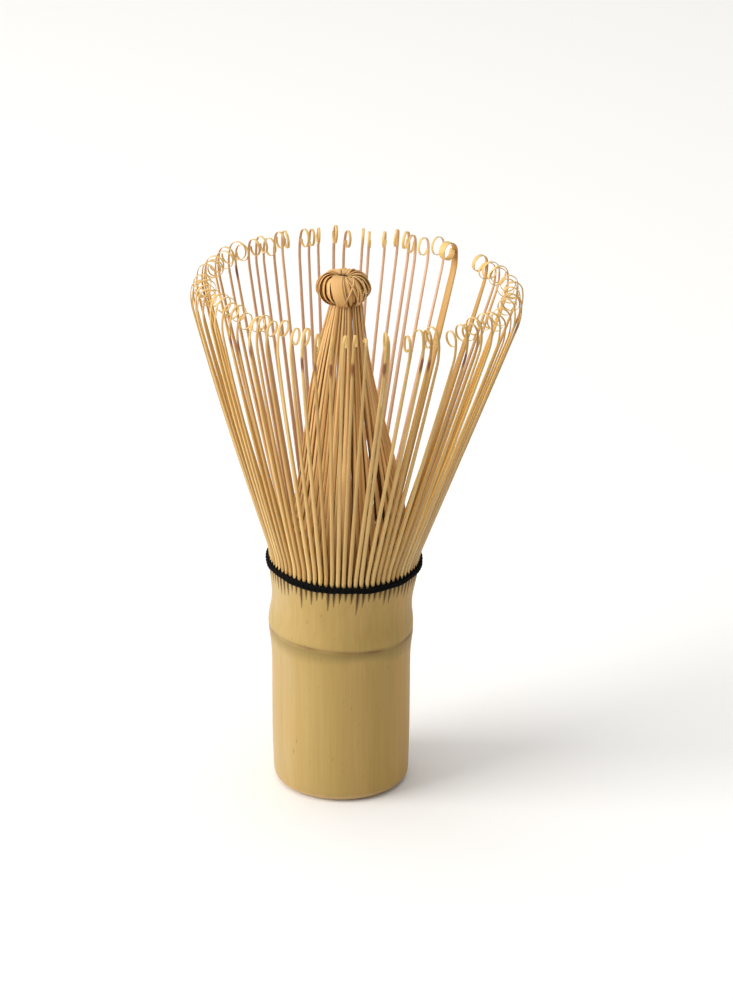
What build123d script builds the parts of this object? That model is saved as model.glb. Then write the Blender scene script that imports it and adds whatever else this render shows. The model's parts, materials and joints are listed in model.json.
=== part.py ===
from build123d import *
import math
import os

# Bamboo tea whisk: one length of culm whose upper end is split into two rings of
# tines, bound with one black thread.  Millimetres, +Z up.  The origin is the middle
# of the handle's lower end, in the mouth of its bore.

# Handle, from the resting end up to the node
resting_radius = 13.55
handle_radius = 13.8
handle_straight_top = 26.0
bottom_edge_radius = 2.2
handle_wall = 4.25
node_height = 34.0
node_radius = 14.4
septum_thickness = 2.4
node_groove_radius = 0.3
node_groove_standoff = 0.1

# Culm above the node, measured along its own axis from the node
culm_bend = 2.7
waist_radius = 13.95
waist_height = 5.5
crown_radius = 14.85
crown_height = 14.45
crown_collar = 1.4
crown_heading = (0.25, 1)
cup_wall = 2.55
inner_tine_ledge = 0.8
crown_bore_taper = 4.0

# Splits: the maker halves the crown four times over, then splits each sector into its tines
sector_count = 16
tines_per_sector = 5
kerf = 0.34
first_split_depth = 4.2
second_split_depth = 2.6
cut_overrun = 1.0

# Outer tines: a straight flared shank, a shoulder and an inward curl
outer_root_thickness = 0.7
outer_tip_thickness = 0.18
outer_tip_width = 0.56
flare = 18.0
shank_length = 53.0
shoulder_radius = 12.0
shoulder_turn = 26.0
curl_radius = 1.7
curl_turn = 300.0
root_clearance = 0.1

# One sector keeps two pairs of tines unsplit and has lost the tine between them
uneven_sector = 2
unsplit_tip_widths = (1.0, 1.45)

# Inner tines: strips that gather inwards along an S-shaped line to the knot
inner_thickness = 0.42
inner_kerf_angle = 1.1
bundle_height = 52.6
bundle_top_radius = 4.3
root_lean_share = 0.63
steepest_lean_share = 1.63
tip_lean_share = 0.1
inner_root_clearance = 0.6
inner_tip_trim = 0.1

# Knot: the inner tines' tips folded over and tucked in
knot_overhang = 0.7
knot_seat_margin = 0.2
knot_height = 5.4
knot_rounding = 2.4
knot_widest_share = 0.45
knot_seat_heading = (0.5, 1)
dimple_depth = 1.3

# Thread
thread_radius = 0.33
thread_bite = 0.02
thread_clearance = 0.1
pass_clearance = 0.195
end_knot_radius = 0.8
end_knot_bite = 0.195

slot_count = sector_count * tines_per_sector
slot_angle = 360 / slot_count
sector_angle = 360 / sector_count
bore_radius = resting_radius - handle_wall
cup_radius = waist_radius - cup_wall

# The outer tines stand flush with the crown, and the thread's inner pass lies between
# them and the inner tines
outer_root_radius = crown_radius - outer_root_thickness / 2
outer_inside = crown_radius - outer_root_thickness
inner_root_radius = outer_inside - 2 * (pass_clearance + thread_radius)
crown_bore_radius = inner_root_radius - inner_tine_ledge
root_pitch = outer_root_radius * math.radians(slot_angle)
hinge_height = crown_height + root_clearance + outer_root_thickness / 2

# The bend at the node tilts everything above it towards +X
upper_culm = Location((0, 0, node_height)) * Rotation(0, culm_bend, 0)


def around(angle):
    """A turn about the axis, so that +X points to the given angle."""
    return Rotation(0, 0, angle)


def turned(edges):
    """The solid of revolution of a closed outline drawn as (radius, height)."""
    return revolve(Plane.XZ * make_face(edges), Axis.Z)


def ring(radius, height, section):
    """One turn of thread."""
    return Pos(0, 0, height) * Torus(radius, section)


def handle():
    """The culm: handle, node, septum, cup and split crown, in one piece."""
    septum_half = septum_thickness / 2
    overlap = node_radius * math.tan(math.radians(culm_bend)) + septum_half
    edge_start = resting_radius - bottom_edge_radius
    edge = JernArc((edge_start, 0), (1, 0), bottom_edge_radius, 90)
    straight = Line(edge @ 1, (handle_radius, handle_straight_top))
    swell = Spline(straight @ 1, (node_radius, node_height), tangents=[straight % 1, (0, 1)])
    above_node = (node_radius, node_height + overlap)
    lower = turned([
        Line((bore_radius, 0), edge @ 0), edge, straight, swell,
        Polyline(swell @ 1, above_node, (0, node_height + overlap), (0, node_height - septum_half),
                 (bore_radius, node_height - septum_half), (bore_radius, 0)),
    ])
    node_plane = Plane(upper_culm)
    lower = split(lower, bisect_by=node_plane, keep=Keep.BOTTOM)

    collar_foot = crown_height - crown_collar
    side = Spline((node_radius, 0), (waist_radius, waist_height), (crown_radius, collar_foot),
                  tangents=[(0, 1), crown_heading])
    upper = turned([
        side,
        Polyline(side @ 1, (crown_radius, crown_height), (crown_bore_radius, crown_height),
                 (cup_radius, crown_height - crown_bore_taper), (cup_radius, septum_half),
                 (0, septum_half), (0, 0), side @ 0),
    ])
    groove = Torus(node_radius + node_groove_standoff, node_groove_radius)
    return lower + upper_culm * (upper - groove - kerfs()) - upper_culm * groove


def kerfs():
    """The cuts between the slots, deeper where the sectors meet."""
    cuts = []
    reach = crown_radius - cup_radius + 2 * cut_overrun
    for slot in range(slot_count):
        first = slot % tines_per_sector == 0
        depth = first_split_depth if first else second_split_depth
        cut = Box(reach, kerf, depth, align=(Align.MIN, Align.CENTER, Align.MAX))
        angle = (slot - tines_per_sector / 2) * slot_angle
        cuts.append(around(angle) * Pos(cup_radius - cut_overrun, 0, crown_height) * cut)
    return cuts


def outer_tine(root_width, tip_width):
    """One outer tine, its root at the origin and its shank along +Z, curling towards -X."""
    root = outer_root_thickness / 2
    tip = outer_tip_thickness / 2
    sides = []
    for offset, root_x, tip_x in ((tip, root, tip), (-tip, -root, -tip)):
        shank = Line((root_x, 0), (tip_x, shank_length))
        shoulder = JernArc(shank @ 1, (0, 1), shoulder_radius + offset, shoulder_turn)
        curl = JernArc(shoulder @ 1, shoulder % 1, curl_radius + offset, curl_turn)
        sides.append((shank, shoulder, curl))
    foot = ThreePointArc((-root, 0), (0, -root), (root, 0))
    end = Line(sides[0][2] @ 1, sides[1][2] @ 1)
    outline = Plane.XZ * make_face([foot, *sides[0], end, *sides[1]])
    ribbon = extrude(outline, root_width, both=True)

    reach = shoulder_radius + 2 * curl_radius
    top = shank_length + reach
    face = Polyline((-root_width / 2, -root), (root_width / 2, -root), (root_width / 2, 0),
                    (tip_width / 2, shank_length), (tip_width / 2, top), (-tip_width / 2, top),
                    (-tip_width / 2, shank_length), (-root_width / 2, 0), close=True)
    return ribbon & extrude(Plane.YZ * make_face(face), reach, both=True)


def outer_slots(sector):
    """The (slot, tine) pairs of a sector, counted from its middle slot."""
    if sector == uneven_sector:
        side = tines_per_sector / 2 - 1
        return list(zip((-side, side), unsplit_tines))
    middle = (tines_per_sector - 1) / 2
    return [(slot - middle, plain_tine) for slot in range(tines_per_sector)]


def outer_sector(sector):
    """The outer tines of one first split."""
    root = Pos(outer_root_radius, 0, hinge_height) * Rotation(0, flare, 0)
    tines = []
    for slot, tine in outer_slots(sector):
        angle = sector * sector_angle + slot * slot_angle
        tines.append(upper_culm * around(angle) * root * tine)
    return Compound(tines)


def bundle_arcs():
    """The leans at root, middle and tip, and the radii of the two arcs that join them."""
    fall = inner_root_radius - bundle_top_radius
    mean = math.atan2(fall, bundle_height)
    root, steep, tip = (mean * share for share in
                        (root_lean_share, steepest_lean_share, tip_lean_share))
    lower_in, lower_up = math.cos(root) - math.cos(steep), math.sin(steep) - math.sin(root)
    upper_in, upper_up = math.cos(tip) - math.cos(steep), math.sin(steep) - math.sin(tip)
    scale = lower_in * upper_up - lower_up * upper_in
    lower = (fall * upper_up - bundle_height * upper_in) / scale
    upper = (bundle_height * lower_in - fall * lower_up) / scale
    return root, steep, tip, lower, upper


def inner_strip_outline():
    """The outline of one inner tine as (radius, height), from its root to the knot."""
    lean, steep, tip, gather_radius, straighten_radius = bundle_arcs()
    heading = (-math.sin(lean), math.cos(lean))
    tail = inner_root_radius * math.sin(math.radians(culm_bend)) + inner_root_clearance
    sides = []
    for inset in (0, inner_thickness):
        start = (inner_root_radius - inset * math.cos(lean), bundle_base - inset * math.sin(lean))
        below = (start[0] - heading[0] * tail, start[1] - heading[1] * tail)
        gather = JernArc(start, heading, gather_radius - inset, math.degrees(steep - lean))
        straighten = JernArc(gather @ 1, gather % 1, straighten_radius + inset,
                             math.degrees(tip - steep))
        sides.append((Line(below, start), gather, straighten))
    outer, inner = sides
    end = Line(outer[2] @ 1, inner[2] @ 1)
    return [*outer, end, *inner, Line(inner[0] @ 0, outer[0] @ 0)]


def inner_sector(sector):
    """The inner tines of one first split, standing about the vertical bundle axis."""
    root_plane = Plane(upper_culm * Pos(0, 0, crown_height + inner_root_clearance))
    strip_angle = slot_angle - inner_kerf_angle
    outline = Plane.XZ * make_face(inner_strip_outline())
    strip = revolve(outline, Axis.Z, revolution_arc=strip_angle)
    middle = (tines_per_sector - 1) / 2
    strips = []
    for slot in range(tines_per_sector):
        angle = sector * sector_angle + (slot - middle) * slot_angle - strip_angle / 2
        placed = bundle * around(angle) * strip
        placed = split(placed, bisect_by=root_plane, keep=Keep.TOP)
        strips.append(split(placed, bisect_by=Plane.XY.offset(knot_base), keep=Keep.BOTTOM))
    return Compound(strips)


def knot():
    """The folded tips: a rounded turban with a dimple in its top."""
    radius = bundle_top_radius + knot_overhang
    seat = Line((0, 0), (bundle_top_radius + knot_seat_margin, 0))
    cheek = Spline(seat @ 1, (radius, knot_height * knot_widest_share),
                   (radius - knot_rounding, knot_height), tangents=[knot_seat_heading, (-1, 0)])
    dimple = Spline(cheek @ 1, (0, knot_height - dimple_depth), tangents=[(-1, 0), (-1, 0)])
    return bundle * Pos(0, 0, knot_base) * turned([seat, cheek, dimple, Line(dimple @ 1, seat @ 0)])


# The inner bundle stands upright from the middle of the tilted crown
bundle_foot = (upper_culm * Pos(0, 0, crown_height + inner_root_clearance)).position
bundle = Pos(bundle_foot.X, 0, 0)
bundle_base = bundle_foot.Z
strip_top = make_face(inner_strip_outline()).bounding_box().max.Y
knot_base = strip_top - inner_tip_trim

plain_tine = outer_tine(root_pitch - kerf, outer_tip_width)
unsplit_tines = [outer_tine(2 * root_pitch - kerf, width) for width in unsplit_tip_widths]

# The lower turn grips the crown, the upper turn lies on it, and the inner pass rests
# on the crown between the two rings of tines
lower_turn_radius = crown_radius + thread_radius - thread_bite
lower_turn_height = crown_height - 2 * thread_radius
upper_turn_radius = crown_radius + thread_clearance + thread_radius
upper_turn_rise = math.sqrt((2 * thread_radius - thread_bite) ** 2
                            - (upper_turn_radius - lower_turn_radius) ** 2)
inner_pass_radius = (outer_inside + inner_root_radius) / 2
inner_pass_height = crown_height + thread_radius - thread_bite

# The end knot is tucked against the tapered wall inside the crown
wall_lean = math.atan2(crown_bore_radius - cup_radius, crown_bore_taper)
end_knot_wall = crown_bore_radius - end_knot_radius * math.tan(wall_lean)
end_knot_reach = end_knot_wall - (end_knot_radius - end_knot_bite) / math.cos(wall_lean)
end_knot_place = Pos(end_knot_reach, 0, crown_height - end_knot_radius)

parts = {
    "handle": handle(),
    "inner_crown_knot": knot(),
    "thread_lower_turn": upper_culm * ring(lower_turn_radius, lower_turn_height, thread_radius),
    "thread_upper_turn": upper_culm * ring(upper_turn_radius, lower_turn_height + upper_turn_rise,
                                           thread_radius),
    "thread_inner_pass": upper_culm * ring(inner_pass_radius, inner_pass_height, thread_radius),
    "thread_end_knot": upper_culm * around(180) * end_knot_place * Sphere(end_knot_radius),
}
for sector in range(sector_count):
    parts[f"outer_tines_{sector + 1:02d}"] = outer_sector(sector)
    parts[f"inner_tines_{sector + 1:02d}"] = inner_sector(sector)

os.makedirs("parts", exist_ok=True)
for name, part in parts.items():
    export_step(part, f"parts/{name}.step")
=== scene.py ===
import json
import math
import random

import bmesh
import bpy
from mathutils import Matrix, Vector, noise
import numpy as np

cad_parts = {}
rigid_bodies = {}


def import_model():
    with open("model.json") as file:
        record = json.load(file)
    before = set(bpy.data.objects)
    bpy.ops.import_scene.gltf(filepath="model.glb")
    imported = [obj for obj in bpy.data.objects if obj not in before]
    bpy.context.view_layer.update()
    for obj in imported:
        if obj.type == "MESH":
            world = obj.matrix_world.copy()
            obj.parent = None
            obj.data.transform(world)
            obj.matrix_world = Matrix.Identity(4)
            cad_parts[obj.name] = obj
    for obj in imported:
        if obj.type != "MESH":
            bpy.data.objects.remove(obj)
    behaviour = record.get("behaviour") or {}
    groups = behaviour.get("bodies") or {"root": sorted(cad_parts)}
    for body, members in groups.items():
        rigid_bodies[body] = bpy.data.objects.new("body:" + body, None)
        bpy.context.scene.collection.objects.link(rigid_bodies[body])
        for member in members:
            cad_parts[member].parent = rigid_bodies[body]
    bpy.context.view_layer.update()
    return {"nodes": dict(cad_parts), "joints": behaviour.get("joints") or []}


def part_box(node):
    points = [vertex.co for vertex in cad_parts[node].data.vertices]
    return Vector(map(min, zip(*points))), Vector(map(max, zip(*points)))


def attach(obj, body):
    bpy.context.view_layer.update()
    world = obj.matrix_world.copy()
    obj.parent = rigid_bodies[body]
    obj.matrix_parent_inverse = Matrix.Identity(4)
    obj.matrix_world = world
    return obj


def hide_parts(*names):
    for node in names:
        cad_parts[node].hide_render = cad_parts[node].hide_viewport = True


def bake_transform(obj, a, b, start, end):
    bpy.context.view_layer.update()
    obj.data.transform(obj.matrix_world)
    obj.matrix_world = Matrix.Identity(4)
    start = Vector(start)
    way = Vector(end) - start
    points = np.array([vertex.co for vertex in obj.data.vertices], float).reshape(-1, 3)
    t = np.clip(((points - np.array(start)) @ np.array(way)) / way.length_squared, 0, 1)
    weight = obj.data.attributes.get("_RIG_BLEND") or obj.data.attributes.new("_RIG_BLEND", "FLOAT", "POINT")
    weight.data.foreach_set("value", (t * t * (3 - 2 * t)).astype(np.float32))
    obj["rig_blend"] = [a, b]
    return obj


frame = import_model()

mm = 0.001

# ---------------------------------------------------------------------------
# Culm handle
# A short length of pale, sun-bleached bamboo with one node. The maker saws and
# rounds its lower end and splits its crown eighty times, so thin cuts run a few
# millimetres down from the thread, darkened with painted shade.
# ---------------------------------------------------------------------------

# Where the crown is and how it leans: the tines' hinges stand in a ring on it
flexes = [j for j in frame["joints"] if j["name"].startswith("outer_flex")]
crown_middle = sum((Vector(j["pos_m"]) for j in flexes), Vector()) / len(flexes)
crown_y = Vector(flexes[0]["axis"])
crown_x = -Vector(flexes[len(flexes) // 4]["axis"])
crown_z = crown_x.cross(crown_y)
crown = Matrix((crown_x, crown_y, crown_z)).transposed().to_4x4()
crown.translation = crown_middle

splits = len(flexes)
tines_per_split = 5
slots = splits * tines_per_split
slot_angle = math.tau / slots

node_height = 34 * mm
node_line_drop = 0.65 * mm
node_groove_depth = 0.16 * mm
node_groove_half_width = 0.3 * mm
node_swell = 0.62 * mm
node_swell_below = 4.2 * mm
node_swell_above = 2.8 * mm
step_above_node = 0.1 * mm
node_step_height = 3 * mm
culm_radius = 13.78 * mm
crown_radius = 14.85 * mm
crown_top = 47.6 * mm
crown_bore = 12.3 * mm
cup_radius = 11.4 * mm
cup_floor = 35.2 * mm
bore_radius = 9.3 * mm
bore_end = 32.8 * mm
edge_radius = 2.2 * mm
foot_taper = 0.22 * mm
foot_taper_height = 12 * mm
flare_start = 39 * mm
flare_height = 9 * mm
bend_start = 22 * mm
bend_height = 12 * mm
skin_waves = 0.10 * mm
root_relief = 0.05 * mm
root_relief_start = 43.5 * mm
root_relief_height = 3.5 * mm
culm_columns = 5 * slots
culm_row = 0.55 * mm
thread_foot = 46.9 * mm
cut_depth = 2.4 * mm
cut_inner_radius = 13.3 * mm
first_split_cuts = (3.6, 5.4)       # Shortest and longest, in mm
other_cuts = (2.2, 4.0)


def ease(t):
    """Rises smoothly from 0 to 1."""
    t = min(max(t, 0.0), 1.0)
    return t * t * (3 - 2 * t)


def bell(x, width):
    """1 in the middle, falling away over the width."""
    return math.exp(-(x / width) ** 2)


def culm_outside(z):
    """The culm's outer radius at a height, before its bend."""
    below = z < node_height
    swell = node_swell * bell(z - node_height, node_swell_below if below else node_swell_above)
    foot = foot_taper * (1 - ease(z / foot_taper_height))
    flare = (crown_radius - culm_radius - step_above_node) * ease((z - flare_start) / flare_height)
    above = 0 if below else step_above_node * ease((z - node_height) / node_step_height)
    return culm_radius + swell - foot + flare + above


def culm_outline():
    """The outline of the culm as (radius, height), from the bore's end round to the cup's floor."""
    foot = culm_outside(0)
    line = [(0, bore_end), (bore_radius, bore_end), (bore_radius, bore_end / 2),
            (bore_radius, 0.4 * mm), (bore_radius + 0.4 * mm, 0)]
    for step in range(7):
        turn = math.radians(-90 + 15 * step)
        line.append((foot - edge_radius * (1 - math.cos(turn)), edge_radius * (1 + math.sin(turn))))
    height = edge_radius + 0.5 * mm
    while height < crown_top - 0.15 * mm:
        line.append((culm_outside(height), height))
        near_groove = abs(height - node_height + node_line_drop) < 1.3 * mm
        near_cuts = height > thread_foot - 6 * mm
        finer = 4 if near_groove else 2 if near_cuts else 1
        height += culm_row / finer
    line += [(culm_outside(crown_top), crown_top), (crown_bore, crown_top),
             (cup_radius, crown_top - 4 * mm), (cup_radius, cup_floor), (0, cup_floor)]
    return line


def spun(line, columns):
    """A bmesh of an outline turned about the Z axis."""
    bm = bmesh.new()
    corners = [bm.verts.new((radius, 0, height)) for radius, height in line]
    edges = [bm.edges.new(pair) for pair in zip(corners, corners[1:])]
    bmesh.ops.spin(bm, geom=corners + edges, cent=(0, 0, 0), axis=(0, 0, 1), dvec=(0, 0, 0),
                   angle=math.tau, steps=columns, use_merge=True, use_duplicate=False)
    bmesh.ops.remove_doubles(bm, verts=bm.verts, dist=0.002 * mm)
    bmesh.ops.recalc_face_normals(bm, faces=bm.faces)
    return bm


def finished(bm, name, material, smooth=True):
    """An object from a bmesh, at the origin, with one material."""
    bmesh.ops.recalc_face_normals(bm, faces=bm.faces)
    mesh = bpy.data.meshes.new(name)
    bm.to_mesh(mesh)
    bm.free()
    if smooth:
        mesh.shade_smooth()
    else:
        mesh.shade_flat()
    mesh.materials.append(material)
    piece = bpy.data.objects.new(name, mesh)
    bpy.context.scene.collection.objects.link(piece)
    return piece


def azimuth(point):
    """The angle of a point round the Z axis."""
    return math.atan2(point.y, point.x)


def culm_mesh():
    """The culm with its cuts, node groove and bend, and marks for its colours, painted sheen and painted
    shade.
    """
    bm = spun(culm_outline(), culm_columns)
    cut_mark = bm.verts.layers.float.new("cut")
    cut_shade_mark = bm.verts.layers.float.new("stain_and_cut_shade")
    node_mark = bm.verts.layers.float.new("node_line")
    bloom_and_shade_mark = bm.verts.layers.float.new("bloom_and_shade")
    inner_mark = bm.verts.layers.float.new("inside")
    olive_mark = bm.verts.layers.float.new("olive")
    sheen_side_mark = bm.verts.layers.float.new("painted_sheen")
    rng = random.Random(11)

    # Each cut follows one narrow column of faces and comes to a point at its lower end
    lengths = []
    for slot in range(slots):
        first_split = slot % tines_per_split == 2
        lengths.append(rng.uniform(*(first_split_cuts if first_split else other_cuts)) * mm)
    cut_faces = []
    for face in bm.faces:
        middle = face.calc_center_median()
        turn = azimuth(middle) / slot_angle - 0.5
        slot = round(turn)
        off_slot = abs(turn - slot) > 0.05
        if off_slot or abs(face.normal.z) > 0.7 or middle.xy.length < cut_inner_radius:
            continue
        if middle.z > thread_foot - lengths[slot % slots]:
            cut_faces.append(face)
    for vert in bm.verts:
        radius, turn = vert.co.xy.length, azimuth(vert.co) / slot_angle - 0.5
        slot = round(turn)
        length = lengths[slot % slots]
        above = (vert.co.z - thread_foot + length) / length
        if above < 0 or radius < cut_inner_radius:
            continue
        if abs(turn - slot) < 0.15:
            # The cut's two edges draw together towards its point
            swing = (slot + (turn - slot) * (0.12 + 0.52 * ease(above)) + 0.5) * slot_angle
            vert.co.x, vert.co.y = radius * math.cos(swing), radius * math.sin(swing)
            # Painted shade: the skin along each cut is marked to be darkened almost to black
            vert[cut_shade_mark] = min(0.05 + above, 1)
        elif abs(turn - slot) < 0.4:
            # Painted shade, fainter, on the skin beside each cut
            vert[cut_shade_mark] = 0.26 * ease(above * 1.2 - 0.2)
    grown = bmesh.ops.extrude_face_region(bm, geom=cut_faces)["geom"]
    floor = [g for g in grown if isinstance(g, bmesh.types.BMVert)]
    bmesh.ops.delete(bm, geom=cut_faces, context="FACES")
    share = 1 - cut_depth / crown_radius
    bmesh.ops.scale(bm, vec=(share, share, 1), verts=floor)
    # The floors of the cuts are marked to be painted nearly black, as painted shade
    for vert in floor:
        vert[cut_mark] = 1

    for vert in bm.verts:
        radius, height, turn = vert.co.xy.length, vert.co.z, azimuth(vert.co)
        outer = radius > culm_outside(height) - 0.3 * mm and edge_radius / 2 < height < crown_top
        if outer and not vert[cut_mark]:
            # The groove is pressed into the node, and the roots of the tines stand up a little
            round_about = Vector((math.cos(turn), math.sin(turn), 0))
            off_node = height - node_height + node_line_drop - 0.14 * mm * math.sin(3 * turn + 1)
            depth = 0.6 + 0.4 * noise.noise((round_about + Vector((0, 0, 3))) * 2)
            groove = node_groove_depth * bell(off_node, node_groove_half_width) * depth
            waves = noise.noise(round_about * 1.3 + Vector((0, 0, height * 60)))
            roots = root_relief * math.cos(turn * slots)
            roots *= ease((height - root_relief_start) / root_relief_height)
            vert.co.xy *= 1 + (skin_waves * waves + roots - groove) / radius
            dark = 0.72 + 0.8 * noise.noise((round_about + Vector((0, 0, 7))) * 3.2)
            vert[node_mark] = bell(off_node, 0.42 * mm) * min(max(dark, 0.4), 1)
            below = -off_node / mm
            reach = 3.6 + 1.8 * noise.noise(round_about * 1.5 + Vector((0, 0, 9)))
            # Under the node: its real bloom, deepened with painted shade under the swell
            vert[bloom_and_shade_mark] = ease(below / 0.7) * (1 - ease((below - 0.3) / reach))
            vert[bloom_and_shade_mark] *= 0.62 - 0.38 * round_about.y
            vert[olive_mark] = 0.5 - 0.5 * round_about.y + 0.3 * noise.noise(round_about * 2)
            vert[olive_mark] += 0.25 * bell(off_node - 2 * mm, 3 * mm)
            # Painted sheen: the left side, towards the lamp, is marked to be coloured paler
            vert[sheen_side_mark] = 0.5 - 0.5 * round_about.x
        elif not vert[cut_mark]:
            vert[inner_mark] = 1

    # The culm turns a little at its node: the part above leans, and the part below follows softly
    lean = Vector((0, 0, 1)).rotation_difference(crown_z).to_matrix()
    slope = crown_z.x / crown_z.z
    pivot = Vector((0, 0, node_height))
    for vert in bm.verts:
        if vert.co.z >= node_height:
            vert.co = pivot + lean @ (vert.co - pivot)
        else:
            vert.co.z -= vert.co.x * slope * ease((vert.co.z - bend_start) / bend_height)
    return bm


def linear(hex_colour):
    """An sRGB hex colour as linear RGBA."""
    values = [int(hex_colour[i:i + 2], 16) / 255 for i in (1, 3, 5)]
    return [v / 12.92 if v <= 0.04045 else ((v + 0.055) / 1.055) ** 2.4 for v in values] + [1]


def add(material, kind, settings=None, links=None):
    """Adds a node of a kind, sets its inputs or properties by name and links its inputs."""
    node = material.node_tree.nodes.new(kind)
    for key, value in (settings or {}).items():
        if isinstance(key, int) or key in node.inputs:
            node.inputs[key].default_value = value
        else:
            setattr(node, key, value)
    for key, output in (links or {}).items():
        material.node_tree.links.new(output, node.inputs[key])
    return node


def blank_material(name):
    """A material with an empty node tree and its output node."""
    material = bpy.data.materials.new(name)
    material.use_nodes = True
    material.node_tree.nodes.clear()
    return material, add(material, "ShaderNodeOutputMaterial")


def mixed(material, share, low, high):
    """A colour between two others. Each is a hex colour or a node's output."""
    node = add(material, "ShaderNodeMix", {"data_type": "RGBA"})
    for index, value in ((0, share), (6, low), (7, high)):
        if isinstance(value, str):
            value = linear(value)
        if isinstance(value, (float, int, list)):
            node.inputs[index].default_value = value
        else:
            material.node_tree.links.new(value, node.inputs[index])
    return node.outputs[2]


def fibres(material, grain, length, detail=3.0):
    """Noise drawn out along Z: grain and length are the fibres' width and length."""
    where = add(material, "ShaderNodeTexCoord")
    stretched = add(material, "ShaderNodeMapping", {"Scale": (1, 1, grain / length)},
                    {"Vector": where.outputs["Object"]})
    return add(material, "ShaderNodeTexNoise",
               {"Scale": 1 / grain, "Detail": detail, "Roughness": 0.55},
               {"Vector": stretched.outputs["Vector"]}).outputs["Fac"]


def ranged(material, value, low, high, to_low=0.0, to_high=1.0):
    """A value moved from one range to another and held inside it."""
    node = add(material, "ShaderNodeMapRange",
               {"From Min": low, "From Max": high, "To Min": to_low, "To Max": to_high},
               {"Value": value})
    return node.outputs["Result"]


def marked(material, name):
    """A piece's own mark, such as how scorched it is."""
    return add(material, "ShaderNodeAttribute", {"attribute_name": name}).outputs["Fac"]


def satin_surface(material, output, colour, fine, relief, depth, specular, roughness):
    """A satin surface: its relief and its roughness follow the fine fibres."""
    ridge = add(material, "ShaderNodeBump", {"Strength": relief, "Distance": depth},
                {"Height": fine})
    surface = add(material, "ShaderNodeBsdfPrincipled",
                  {"IOR": 1.5, "Specular IOR Level": specular},
                  {"Base Color": colour, "Normal": ridge.outputs["Normal"],
                   "Roughness": ranged(material, fine, 0, 1, *roughness)})
    material.node_tree.links.new(surface.outputs["BSDF"], output.inputs["Surface"])


def bleached_bamboo_skin():
    """Sun-bleached bamboo skin: straw yellow, satin, with fibres 0.4 mm wide that run the length
    of the culm, broad soft tan and olive streaks, and a brownish bloom under the node deepened
    with painted shade. A painted sheen makes the left side paler, and painted shade darkens the
    skin along each cut, and the floor of each cut, almost to black."""
    material, output = blank_material("bleached_bamboo_skin")
    fine = ranged(material, fibres(material, 0.4 * mm, 26 * mm), 0.3, 0.7)
    broad = ranged(material, fibres(material, 3.2 * mm, 60 * mm, detail=2), 0.35, 0.65)
    patches = ranged(material, fibres(material, 11 * mm, 20 * mm, detail=1), 0.35, 0.65)
    # Painted sheen: paler and greyer on the left, lit side, browner on the right
    straw = mixed(material, marked(material, "painted_sheen"), "#c5974a", "#bea680")
    straw = mixed(material, ranged(material, broad, 0, 1, 0, 0.45), straw, "#a98a52")
    straw = mixed(material, ranged(material, patches, 0, 1, 0, 0.3), straw, "#c69b60")
    straw = mixed(material, ranged(material, marked(material, "olive"), 0.3, 1, 0, 0.6), straw,
                  "#a28a42")
    grain = mixed(material, ranged(material, fine, 0, 1, 0.0, 0.2), straw, "#8a6c38")
    # The bloom under the node, darkened further with painted shade
    bloom_and_shade = ranged(material, marked(material, "bloom_and_shade"), 0, 1, 0, 0.7)
    under_node = mixed(material, bloom_and_shade, grain, "#7a6837")
    line = ranged(material, marked(material, "node_line"), 0, 1, 0, 0.72)
    ringed = mixed(material, line, under_node, "#5a3b1c")
    speck_noise = fibres(material, 0.5 * mm, 2.2 * mm, detail=1)
    specks = ranged(material, speck_noise, 0.72, 0.8, 0, 0.55)
    ringed = mixed(material, specks, ringed, "#6e5026")
    # Painted shade of the cuts: brown beside each cut and nearly black along it
    cut_side_shade = mixed(material, ranged(material, marked(material, "stain_and_cut_shade"), 0.0, 0.3, 0, 0.8), ringed,
                 "#64491c")
    cut_line_shade = mixed(material, ranged(material, marked(material, "stain_and_cut_shade"), 0.3, 1.05), cut_side_shade,
                  "#1c1206")
    bare = mixed(material, marked(material, "inside"), cut_line_shade, "#b99b6c")
    # Painted shade: the floor of each cut is nearly black
    cut = mixed(material, ranged(material, marked(material, "cut"), 0.0, 0.6), bare, "#120c06")
    satin_surface(material, output, cut, fine, 0.25, 0.05 * mm, 0.3, (0.42, 0.56))
    return material


culm = finished(culm_mesh(), "culm_handle", bleached_bamboo_skin())
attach(culm, "handle")
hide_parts("handle")

# ---------------------------------------------------------------------------
# Outer tines
# The outer half of each split, shaved thin with a knife until it springs, bent
# over a hot iron and curled inwards round a stick. The heat leaves brown marks
# just under some of the bends, and no two tines lie quite alike.
# ---------------------------------------------------------------------------

outer_root_radius = 14.5 * mm
outer_root_below = 1.8 * mm
outer_root_flare = 19.0
outer_width = 0.8 * mm
outer_tip_width = 0.56 * mm
outer_thickness = 0.7 * mm
outer_bend_thickness = 0.26 * mm
outer_tip_thickness = 0.14 * mm
shank_length = 50.3 * mm
shoulder_radius = 11.5 * mm
shoulder_turn = 25.0
curl_radius = 1.72 * mm
curl_turn = 350.0
strip_sides = 8
strip_flat = 0.41
uneven_split = 2

# Two tines of the uneven split stayed whole: their places, and their widths at root and tip
unsplit_widths = {0: (2.3 * mm, 0.85 * mm), 4: (1.8 * mm, 1.6 * mm)}


def facing(point, across, heading, twist):
    """The matrix of a station at a point, turned about its heading, in degrees."""
    place = Matrix((across, heading.cross(across), heading)).transposed().to_4x4()
    place.translation = point
    return place @ Matrix.Rotation(math.radians(twist), 4, "Z")


def strip_bmesh():
    """An empty bmesh with the marks that every bamboo strip carries."""
    bm = bmesh.new()
    for name in ("tone", "along", "scorch", "run", "side", "inner_face", "painted_back_light"):
        bm.verts.layers.float.new(name)
    return bm


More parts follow.
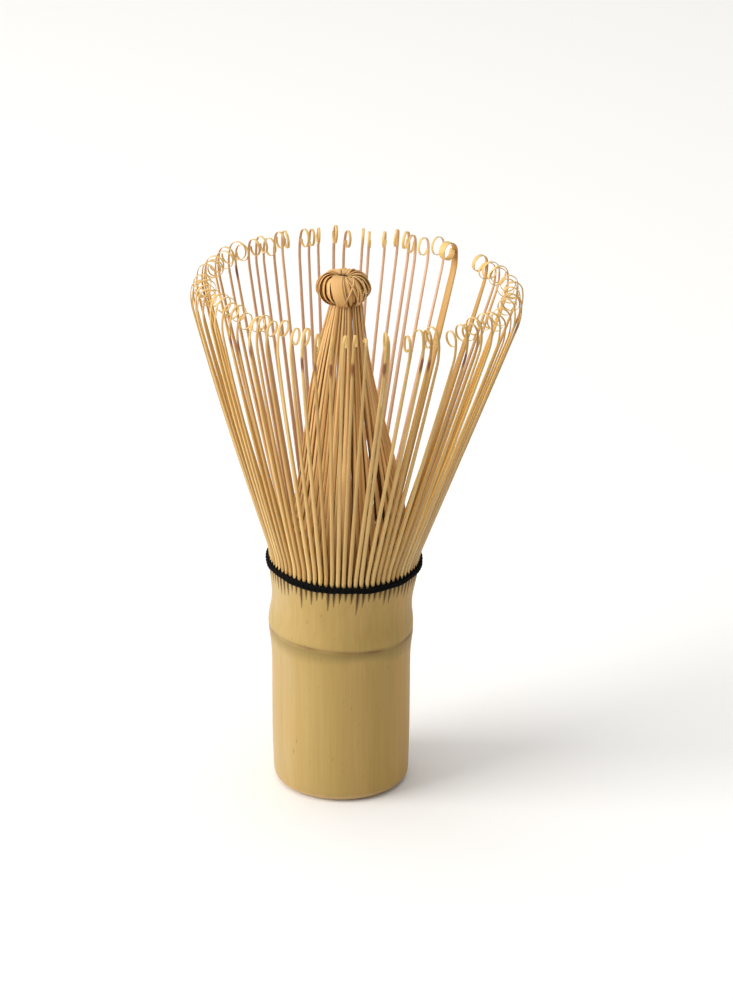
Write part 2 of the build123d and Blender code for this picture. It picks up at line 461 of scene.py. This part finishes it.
def laid_strip(bm, stations, tone=0.5, painted_back_light=1.0):
    """A strip with bevelled edges, laid along its stations. A station is a matrix, whose X is
    across, Y towards the inner face and Z onward, then width, thickness, along and scorch.
    The caps that extruding leaves inside the strip are removed."""
    marks = bm.verts.layers.float
    flat_radius = 0.5 / math.cos(math.pi / strip_sides)
    made = bmesh.ops.create_circle(bm, cap_ends=True, segments=strip_sides, radius=flat_radius,
                                   matrix=Matrix.Rotation(math.pi / strip_sides, 4, "Z"))
    # The flat faces take up most of the width, so only the edges look rounded
    for vert in made["verts"]:
        if abs(vert.co.x) < 0.3:
            vert.co.x = math.copysign(strip_flat, vert.co.x)
    cap = made["verts"][0].link_faces[0]
    before, run = Matrix(), 0.0
    for index, (place, width, thickness, along, scorch) in enumerate(stations):
        sized = place @ Matrix.Diagonal((width, thickness, 1, 1))
        if index:
            last_cap = cap
            out = bmesh.ops.extrude_face_region(bm, geom=[last_cap])["geom"]
            cap = next(g for g in out if isinstance(g, bmesh.types.BMFace))
            if index > 1:
                bm.faces.remove(last_cap)
            run += (place.translation - before.translation).length
        bmesh.ops.transform(bm, matrix=sized @ before.inverted(), verts=cap.verts)
        before = sized
        back = place.inverted()
        for vert in cap.verts:
            local = back @ vert.co
            vert[marks["tone"]], vert[marks["along"]], vert[marks["scorch"]] = tone, along, scorch
            vert[marks["run"]], vert[marks["side"]] = run, local.x
            vert[marks["inner_face"]] = 1.0 if local.y > 0 else 0.0
            vert[marks["painted_back_light"]] = painted_back_light


def onward(place, length, bend=0.0, twist=0.0):
    """The next matrix along a strip, bent towards its inner face and twisted, in degrees."""
    half_bend = Matrix.Rotation(-math.radians(bend) / 2, 4, "X")
    turned = Matrix.Rotation(math.radians(twist), 4, "Z")
    return place @ half_bend @ Matrix.Translation((0, 0, length)) @ half_bend @ turned


def between(low, high, share):
    """A value part of the way from one to another."""
    return low + (high - low) * share


def outer_tine(bm, turn, rng, width, tip_width):
    """One outer tine at an azimuth, with its own small irregularities."""
    right, front = math.cos(turn), -math.sin(turn)
    bow = 2.4 - 1.6 * right + rng.uniform(-0.9, 0.9)
    flare = outer_root_flare - 0.4 * right + rng.gauss(0, 0.25)
    reach = shank_length + rng.uniform(-0.3, 0.3) * mm
    shoulder = shoulder_turn + rng.uniform(-3.5, 3.5)
    curl = curl_turn + rng.uniform(-28, 22)
    loop = curl_radius * rng.uniform(0.93, 1.07)
    twist = rng.gauss(0, 8)
    lie = rng.gauss(0, 8)
    if front > 0.9 and right > -0.1 and rng.random() < 0.6:
        # A few curls at the front are short and have sprung open
        curl, loop, lie = curl * rng.uniform(0.5, 0.75), loop * 0.8, rng.gauss(0, 30)
    chance = 0.75 if front > 0.93 else 0.45 if right > 0.2 and front > 0 else 0.12
    scorch = rng.uniform(0.65, 1.0) if rng.random() < chance else rng.uniform(0, 0.15)

    place = (crown @ Matrix.Rotation(turn, 4, "Z")
             @ Matrix.Translation((outer_root_radius, 0, -outer_root_below))
             @ Matrix.Rotation(math.pi / 2, 4, "Z")
             @ Matrix.Rotation(math.radians(rng.gauss(0, 0.6)), 4, "Y"))
    stations = [(place, width, outer_thickness, 0, 0)]
    root_steps = 5
    for _ in range(root_steps):
        place = onward(place, 0.9 * mm, -flare / root_steps)
        stations.append((place, width, outer_thickness, 0, 0))
    shank_steps = 17
    for step in range(shank_steps):
        share = (step + 1) / shank_steps
        place = onward(place, reach / shank_steps, bow * 2 * share / (shank_steps + 1),
                       twist * share / shank_steps)
        burnt = scorch * ease((share - 0.955) / 0.04)
        stations.append((place, between(width, tip_width, share ** 1.2),
                         between(outer_thickness, outer_bend_thickness, share), share, burnt))
    shoulder_steps = 8
    length = shoulder_radius * math.radians(shoulder) / shoulder_steps
    for step in range(shoulder_steps):
        share = (step + 1) / shoulder_steps
        place = onward(place, length, shoulder / shoulder_steps)
        stations.append((place, tip_width,
                         between(outer_bend_thickness, outer_tip_thickness, share), 1,
                         scorch * (1 - ease((share - 0.12) / 0.4))))
    curl_steps = 26
    for step in range(curl_steps):
        share = (step + 1) / curl_steps
        radius = loop * between(1.12, 0.82, share)
        place = onward(place, radius * math.radians(curl / curl_steps), curl / curl_steps,
                       lie / curl_steps)
        stations.append((place, tip_width * between(1, 0.9, share),
                         outer_tip_thickness * between(1, 0.75, share), 1.0 + share, 0))
    whole = width > 1.5 * mm
    # Painted light: the inner faces of the tines at the back are marked to be painted paler and pinker
    painted_back_light = 0 if whole else ease((-front - 0.3) / 0.5)
    tone = rng.random()
    # The two whole tines take the darkest tone: painted shade that holds down the light on their broad faces
    laid_strip(bm, stations, 1.0 if whole else tone, painted_back_light)


def grain_along(material, grain, length):
    """Noise drawn out along each strip: grain and length are the fibres' width and length."""
    across = add(material, "ShaderNodeMath", {"operation": "DIVIDE", 1: grain},
                 {0: marked(material, "side")})
    onwards = add(material, "ShaderNodeMath", {"operation": "DIVIDE", 1: length},
                  {0: marked(material, "run")})
    which = add(material, "ShaderNodeMath", {"operation": "MULTIPLY", 1: 97.0},
                {0: marked(material, "tone")})
    where = add(material, "ShaderNodeCombineXYZ", None,
                {"X": across.outputs[0], "Y": onwards.outputs[0], "Z": which.outputs[0]})
    noise_node = add(material, "ShaderNodeTexNoise", {"Scale": 1.0, "Detail": 3.0},
                     {"Vector": where.outputs[0]})
    return ranged(material, noise_node.outputs["Fac"], 0.3, 0.7)


def sprung_tine_bamboo():
    """Shaved bamboo: golden and satin, with fibres 0.16 mm wide along each tine and a paler curl,
    partly its own outer skin and partly painted highlight and light shining through it. The inner
    face is warmer, and on the tines at the back it is painted paler and pinker as painted light.
    Every tine has its own tone, the two whole tines take the darkest as painted shade, and heat
    has left brown marks under some of the bends."""
    material, output = blank_material("sprung_tine_bamboo")
    fine = grain_along(material, 0.16 * mm, 5 * mm)
    stain_and_cut_shade = grain_along(material, 1.2 * mm, 9 * mm)
    gold = mixed(material, marked(material, "tone"), "#d6b470", "#b08642")
    # The curls are paler: partly the outer skin showing, partly painted highlight and light shining through
    gold = mixed(material, ranged(material, marked(material, "along"), 1, 1.3, 0, 0.8), gold,
                 "#fbd486")
    gold = mixed(material, ranged(material, fine, 0, 1, 0, 0.3), gold, "#a07a42")
    gold = mixed(material, ranged(material, stain_and_cut_shade, 0, 1, 0.3, 0), gold, "#a98348")
    golden = mixed(material, marked(material, "tone"), "#f4ba54", "#c8994e")
    # Painted light on the inner faces of the back tines: paler and pinker
    inner_wall = mixed(material, marked(material, "painted_back_light"), golden, "#dfb598")
    inside = ranged(material, marked(material, "inner_face"), 0, 1, 0, 0.8)
    inside = add(material, "ShaderNodeMath", {"operation": "MULTIPLY"},
                 {0: inside, 1: ranged(material, marked(material, "along"), 1, 1.3, 1, 0)})
    gold = mixed(material, inside.outputs[0], gold, inner_wall)
    crisp = ranged(material, marked(material, "scorch"), 0.3, 0.75, 0, 0.9)
    burnt = mixed(material, crisp, gold, "#74360c")
    satin_surface(material, output, burnt, fine, 0.3, 0.03 * mm, 0.45, (0.36, 0.52))
    return material


tine_bamboo = sprung_tine_bamboo()
for split, flex in enumerate(flexes):
    rng = random.Random(400 + split)
    bm = strip_bmesh()
    for number in range(tines_per_split):
        turn = (split * tines_per_split + number - tines_per_split // 2) * slot_angle
        if split != uneven_split:
            narrow = rng.uniform(0.94, 1.06)
            outer_tine(bm, turn, rng, outer_width * narrow, outer_tip_width * narrow)
        elif number in unsplit_widths:
            inward = (tines_per_split // 2 - number) * slot_angle / 4
            outer_tine(bm, turn + inward, rng, *unsplit_widths[number])
    tines = finished(bm, f"outer_split_{split + 1:02d}_tines", tine_bamboo)
    hinge = Vector(flex["pos_m"])
    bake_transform(tines, flex["parent"], flex["child"], start=hinge, end=hinge + crown_z * 16 * mm)
    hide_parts(f"outer_tines_{split + 1:02d}")

# ---------------------------------------------------------------------------
# Inner tines
# The inner half of each split, from the softer wall of the culm. The maker
# gathers them to the middle in a steep cone, so they lie on one another in
# layers under the knot.
# ---------------------------------------------------------------------------

sway = next(j for j in frame["joints"] if j["name"] == "inner_bundle_sway")
bundle_foot = Vector(sway["pos_m"])
knot_low, knot_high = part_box("inner_crown_knot")
inner_root_radius = 12.9 * mm
inner_width = 0.92 * mm
inner_thickness = 0.42 * mm
inner_tip_thickness = 0.2 * mm
inner_top_radii = (2.75 * mm, 2.3 * mm, 2.6 * mm, 1.85 * mm)
inner_root_below = 1.6 * mm
inner_hollow = 0.085
bundle_lean = 0.6 * mm
bundle_twist = 0.12
bundle_height = knot_low.z - bundle_foot.z + 1.0 * mm


def inner_tine(bm, turn, rng, top_radius):
    """One inner tine, leaning in to the knot. On the right it gathers late, in a hollow curve,
    and on the left early, because the knot was tied a little to one side."""
    top_radius += rng.uniform(-0.2, 0.15) * mm
    width = inner_width * rng.uniform(0.82, 1.05)
    top_width = rng.uniform(0.3, 0.52) * mm
    swing = rng.gauss(0, 0.025)
    slope = -inner_root_radius * math.cos(turn) * crown_z.x / crown_z.z - inner_root_below
    twist = rng.gauss(0, 14)
    wander = rng.gauss(0, 0.2) * mm
    count = 18
    points = []
    for step in range(count + 1):
        share = step / count
        gathered = share - inner_hollow * math.cos(turn) * math.sin(math.tau * share)
        radius = between(inner_root_radius, top_radius, gathered)
        radius += wander * math.sin(math.pi * share)
        angle = turn + swing * math.sin(math.pi * share) ** 2 + bundle_twist * share ** 2
        points.append(bundle_foot + Vector((radius * math.cos(angle) + bundle_lean * ease(share),
                                            radius * math.sin(angle),
                                            between(slope, bundle_height, share))))
    stations = []
    for step, point in enumerate(points):
        share = step / count
        heading = (points[min(step + 1, count)] - points[max(step - 1, 0)]).normalized()
        inward = Vector((bundle_foot.x - point.x, -point.y, 0))
        across = inward.cross(heading).normalized()
        place = facing(point, across, heading, twist * share)
        stations.append((place, between(width, top_width, share),
                         between(inner_thickness, inner_tip_thickness, share), share, 0))
    laid_strip(bm, stations, rng.random())


def soft_wall_bamboo():
    """The culm's inner wall: warmer and duller than the skin, in long fibres 0.18 mm wide, with
    painted shade, dark brown towards the roots deep inside the ring of outer tines."""
    material, output = blank_material("soft_wall_bamboo")
    fine = grain_along(material, 0.18 * mm, 6 * mm)
    warm = mixed(material, marked(material, "tone"), "#f2c684", "#c59655")
    # Painted shade: dark brown towards the roots, down inside the crown
    low = mixed(material, ranged(material, marked(material, "along"), 0.0, 0.4, 0.85, 0), warm,
                "#5e3c1a")
    grain = mixed(material, ranged(material, fine, 0, 1, 0, 0.4), low, "#946c36")
    satin_surface(material, output, grain, fine, 0.35, 0.03 * mm, 0.35, (0.5, 0.64))
    return material


wall_bamboo = soft_wall_bamboo()
for split in range(splits):
    rng = random.Random(700 + split)
    bm = strip_bmesh()
    for number in range(tines_per_split):
        slot = split * tines_per_split + number - tines_per_split // 2
        inner_tine(bm, slot * slot_angle, rng, inner_top_radii[slot % len(inner_top_radii)])
    gathered = finished(bm, f"inner_split_{split + 1:02d}_tines", wall_bamboo)
    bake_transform(gathered, sway["parent"], sway["child"], start=bundle_foot,
             end=bundle_foot + Vector((0, 0, 14 * mm)))
    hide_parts(f"inner_tines_{split + 1:02d}")

# ---------------------------------------------------------------------------
# Inner crown knot
# The tips of the inner tines, damped, folded over one another and tucked in
# under themselves, so that they make a small turban with a dimple in its top.
# ---------------------------------------------------------------------------

knot_middle = (knot_low + knot_high) / 2
fold_radius = (knot_high.z - knot_low.z) / 2
knot_radius = (knot_high.x - knot_low.x) / 2 + 0.25 * mm
fold_ring = knot_radius - fold_radius
fold_count = 22
fold_thickness = 0.15 * mm
fold_flat = 0.25 * mm
fold_under = -0.42 * mm


def fold(bm, turn, rng, width, skew, lift, tilt, leaf=0.0, start=128.0, end=-78.0, tones=1.0):
    """One folded tip: out of the dimple, over the rim and down to where it is tucked in. A leaf
    stays wide to its ends."""
    count, points, outwards = 20, [], []
    for step in range(count + 1):
        share = step / count
        rise = math.radians(between(start, end, share))
        angle = turn + math.radians(skew) * (share - 0.4)
        out = Vector((math.cos(angle), math.sin(angle), 0))
        outward = out * math.cos(rise) + Vector((0, 0, math.sin(rise)))
        radius = fold_radius + lift - fold_flat * math.sin(math.pi * share) ** 8
        points.append(knot_middle + out * fold_ring + outward * radius)
        outwards.append(outward)
    stations = []
    for step, point in enumerate(points):
        share = step / count
        heading = (points[min(step + 1, count)] - points[max(step - 1, 0)]).normalized()
        across = heading.cross(outwards[step]).normalized()
        place = facing(point, across, heading, tilt)
        belly = math.sin(math.pi * min(share + 0.12, 1))
        stations.append((place, width * between(0.5 + 0.38 * leaf, 1, belly), fold_thickness,
                         share, 0))
    laid_strip(bm, stations, tones * rng.random())


def folded_tip_bamboo():
    """Thin bamboo tips: pale gold, polished by the fingers, with painted shade that makes them
    browner in the dimple and where each fold is tucked in."""
    material, output = blank_material("folded_tip_bamboo")
    fine = grain_along(material, 0.2 * mm, 3 * mm)
    gold = mixed(material, marked(material, "tone"), "#f0c684", "#cc9b58")
    # Painted shade where each fold is tucked in
    tucked = mixed(material, ranged(material, marked(material, "along"), 0.7, 1, 0, 0.5), gold,
                   "#8a5c2c")
    # Painted shade in the dimple
    dimple = mixed(material, ranged(material, marked(material, "along"), 0.0, 0.16, 0.5, 0),
                   tucked, "#8a5c2c")
    grain = mixed(material, ranged(material, fine, 0, 1, 0, 0.3), dimple, "#9c6c38")
    satin_surface(material, output, grain, fine, 0.3, 0.03 * mm, 0.45, (0.38, 0.52))
    return material


def shaded_bamboo():
    """Bamboo deep inside the knot, dark brown between the folds."""
    material, output = blank_material("shaded_bamboo")
    fine = fibres(material, 0.3 * mm, 2 * mm)
    brown = mixed(material, fine, "#583618", "#865a2c")
    surface = add(material, "ShaderNodeBsdfPrincipled",
                  {"IOR": 1.5, "Specular IOR Level": 0.2, "Roughness": 0.7},
                  {"Base Color": brown})
    material.node_tree.links.new(surface.outputs["BSDF"], output.inputs["Surface"])
    return material


rng = random.Random(5)
bm = strip_bmesh()
for number in range(fold_count):
    turn = (number + rng.uniform(-0.2, 0.2)) * math.tau / fold_count
    right = math.cos(turn)
    skew = 30 - 22 * right + rng.uniform(-8, 8)
    # A lower fold fills the gap beside each upper one
    fold(bm, turn + 0.12, rng, (0.7 if right > 0.3 else 1.15) * mm, skew + 6, fold_under, 12)
    width = (rng.uniform(0.65, 1.0) if right > 0.2 else rng.uniform(0.95, 1.4)) * mm
    tilt = rng.uniform(-28, -14) if right > 0.2 else rng.uniform(16, 30)
    # The folds on the right take pale tones: painted light against the shade they lie in, away from the
    # left-hand lamp
    fold(bm, turn, rng, width, skew, rng.uniform(-0.25, 0.05) * mm, tilt,
         tones=0.1 if right > 0.2 else 1.0)

# Over them lie one wide leaf in front, loose fibres beside it and a few folds at the back
for degrees, width, skew, lift, leaf, start, end in (
        (-107, 2.3, 34, 0.24, 1.0, 132, -84), (-60, 0.55, 40, 0.05, 0, 120, -62),
        (-70, 0.28, -40, 0.34, 0, 85, -48), (-58, 0.3, 4, 0.3, 0, 60, -80),
        (-52, 0.24, 12, 0.36, 0, 40, -84), (-66, 0.22, 30, 0.28, 0, 70, -70),
        (-44, 0.3, -20, 0.26, 0, 50, -76), (75, 0.9, 70, 0.1, 0, 125, 10),
        (105, 0.8, -64, 0.16, 0, 125, 15), (60, 0.6, -50, 0.2, 0, 125, 20),
        (150, 0.7, 50, 0.12, 0, 125, -20)):
    fold(bm, math.radians(degrees), rng, width * mm, skew, lift * mm, 3, leaf, start, end,
         tones=0.3 if width < 0.35 else 1.0)
knot = finished(bm, "folded_tips", folded_tip_bamboo())
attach(knot, "inner_bundle")
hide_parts("inner_crown_knot")

core_radius = fold_radius - 0.55 * mm
ring_steps = 16
ring = []
for step in range(ring_steps + 1):
    turn = step * math.tau / ring_steps
    ring.append((max(fold_ring + core_radius * math.cos(turn), 0.05 * mm),
                 knot_middle.z + core_radius * math.sin(turn)))
bm = spun(ring, 3 * ring_steps)
bmesh.ops.translate(bm, vec=(knot_middle.x, knot_middle.y, 0), verts=bm.verts)
core = finished(bm, "knot_core", shaded_bamboo())
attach(core, "inner_bundle")

# ---------------------------------------------------------------------------
# Binding thread
# Black cotton thread, drawn tight twice round the outer tines under their
# roots and passed in and out between them, so it dips into every gap.
# ---------------------------------------------------------------------------

thread_steps_per_tine = 8
thread_slack = 0.13 * mm
thread_sag = 0.27 * mm
thread_fuzz = 0.17 * mm


def thread_turn(bm, radius, height, section, bulge, rise):
    """One turn of thread as a closed tube. It bulges and rises over each tine, dips in each gap,
    and hangs a little slack here and there."""
    made = bmesh.ops.create_circle(bm, cap_ends=False, segments=10, radius=section,
                                   matrix=Matrix.Translation((radius, 0, height))
                                   @ Matrix.Rotation(math.pi / 2, 4, "X"))
    edges = list({edge for vert in made["verts"] for edge in vert.link_edges})
    bmesh.ops.spin(bm, geom=made["verts"] + edges, cent=(0, 0, 0), axis=(0, 0, 1),
                   dvec=(0, 0, 0), angle=math.tau, steps=slots * thread_steps_per_tine, use_merge=True,
                   use_duplicate=False)
    for vert in bm.verts:
        turn = azimuth(vert.co)
        wave = math.cos(turn * slots)
        round_about = Vector((math.cos(turn), math.sin(turn), height * 900))
        slack = noise.noise(round_about * 4)
        grown = 1 + (bulge * wave + thread_slack * slack) / radius
        vert.co.x *= grown
        vert.co.y *= grown
        sag = noise.noise(round_about * 2.4 + Vector((0, 0, 5)))
        vert.co.z += rise * wave + thread_sag * sag + thread_fuzz * noise.noise(vert.co * 420)


def black_cotton():
    """Black cotton: matt and slightly hairy, with plies 0.3 mm apart."""
    material, output = blank_material("black_cotton_thread")
    where = add(material, "ShaderNodeTexCoord")
    plies = add(material, "ShaderNodeTexNoise", {"Scale": 1 / (0.3 * mm), "Detail": 3.0},
                {"Vector": where.outputs["Object"]}).outputs["Fac"]
    black = mixed(material, plies, "#030303", "#0c0b0b")
    ridge = add(material, "ShaderNodeBump", {"Strength": 0.7, "Distance": 0.08 * mm},
                {"Height": plies})
    surface = add(material, "ShaderNodeBsdfPrincipled",
                  {"IOR": 1.5, "Specular IOR Level": 0.12, "Roughness": 0.95},
                  {"Base Color": black, "Normal": ridge.outputs["Normal"]})
    material.node_tree.links.new(surface.outputs["BSDF"], output.inputs["Surface"])
    return material


cotton = black_cotton()

# Each turn's radius, height over the hinges, half thickness, bulge and rise
turns = (
    ("thread_lower_turn", 15.1 * mm, -1.65 * mm, 0.38 * mm, 0.08 * mm, 0.07 * mm),
    ("thread_upper_turn", 15.12 * mm, -1.05 * mm, 0.36 * mm, 0.09 * mm, -0.1 * mm),
    ("thread_inner_pass", 13.6 * mm, -0.95 * mm, 0.33 * mm, 0.03 * mm, 0.05 * mm),
)

# The turns are wound a little askew to the crown
wound = (crown @ Matrix.Rotation(math.radians(-0.9), 4, "Y")
         @ Matrix.Rotation(math.radians(1.9), 4, "X"))
for name, radius, height, section, bulge, rise in turns:
    bm = bmesh.new()
    thread_turn(bm, radius, height, section, bulge, rise)
    bmesh.ops.transform(bm, matrix=wound, verts=bm.verts)
    turn_of_thread = finished(bm, f"wound_{name}", cotton)
    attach(turn_of_thread, "handle")
    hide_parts(name)

rng = random.Random(9)
bm = strip_bmesh()
for slot in range(slots):
    turn = (slot + 0.5) * slot_angle
    place = (wound @ Matrix.Rotation(turn, 4, "Z")
             @ Matrix.Translation((15.12 * mm, 0, -1.5 * mm)) @ Matrix.Rotation(math.pi / 2, 4, "Z"))
    stations = [(place, 0.6 * mm, 0.5 * mm, 0, 0)]
    rise = rng.uniform(0.8, 1.15) * mm
    # The thread climbs into the gap in short steps: their lengths, bends and widths
    for length, bend, width in ((0.45, 8, 0.6), (0.4, 18, 0.48), (0.35, 26, 0.34),
                                (0.3, 30, 0.3)):
        place = onward(place, length * rise, bend)
        stations.append((place, width * mm, 0.45 * mm, 0, 0))
    laid_strip(bm, stations)
dips = finished(bm, "thread_dips_between_tines", cotton)
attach(dips, "handle")

end_knot = frame["nodes"]["thread_end_knot"]
end_knot.data.materials.clear()
end_knot.data.materials.append(cotton)

# ---------------------------------------------------------------------------
# Studio
# A plain pale floor under a large soft light on the left, a weaker, broader one
# overhead and an even white surround.
# ---------------------------------------------------------------------------

floor_half = 3.0


def pale_floor():
    """Matt white studio paper."""
    material, output = blank_material("white_studio_paper")
    surface = add(material, "ShaderNodeBsdfPrincipled",
                  {"Base Color": linear("#f4f3f1"), "Roughness": 0.9, "Specular IOR Level": 0.1})
    material.node_tree.links.new(surface.outputs["BSDF"], output.inputs["Surface"])
    return material


bm = bmesh.new()
bmesh.ops.create_grid(bm, x_segments=1, y_segments=1, size=floor_half)
floor_piece = finished(bm, "studio_floor", pale_floor(), smooth=False)


def soft_light(name, place, power, size, colour):
    """A square area light that points at the middle of the whisk."""
    lamp = bpy.data.lights.new(name, "AREA")
    lamp.energy, lamp.size, lamp.color = power, size, linear(colour)[:3]
    light = bpy.data.objects.new(name, lamp)
    light.location = place
    light.rotation_euler = (Vector((0, 0, 0.06)) - Vector(place)).to_track_quat("-Z", "Y").to_euler()
    bpy.context.scene.collection.objects.link(light)


soft_light("window_left", (-1.25, -0.4, 0.6), 22, 1.0, "#fffdfa")
soft_light("overhead", (-0.2, 0.1, 1.6), 14, 1.6, "#ffffff")

world = bpy.data.worlds.new("white_surround")
world.use_nodes = True
world.node_tree.nodes["Background"].inputs["Color"].default_value = linear("#ffffff")
world.node_tree.nodes["Background"].inputs["Strength"].default_value = 0.45
bpy.context.scene.world = world
bpy.context.scene.view_settings.view_transform = "Standard"

# A long lens about 0.76 m away, looking down on the whisk
camera_place = Vector((5.09, -700.0, 357.1)) * mm
camera_aim = Vector((5.09, 0.0, 59.9)) * mm
lens = bpy.data.cameras.new("camera")
lens.sensor_width = 36
lens.lens = 139.5
camera = bpy.data.objects.new("camera", lens)
camera.location = camera_place
camera.rotation_euler = (camera_aim - camera_place).to_track_quat("-Z", "Y").to_euler()
bpy.context.scene.collection.objects.link(camera)
bpy.context.scene.camera = camera
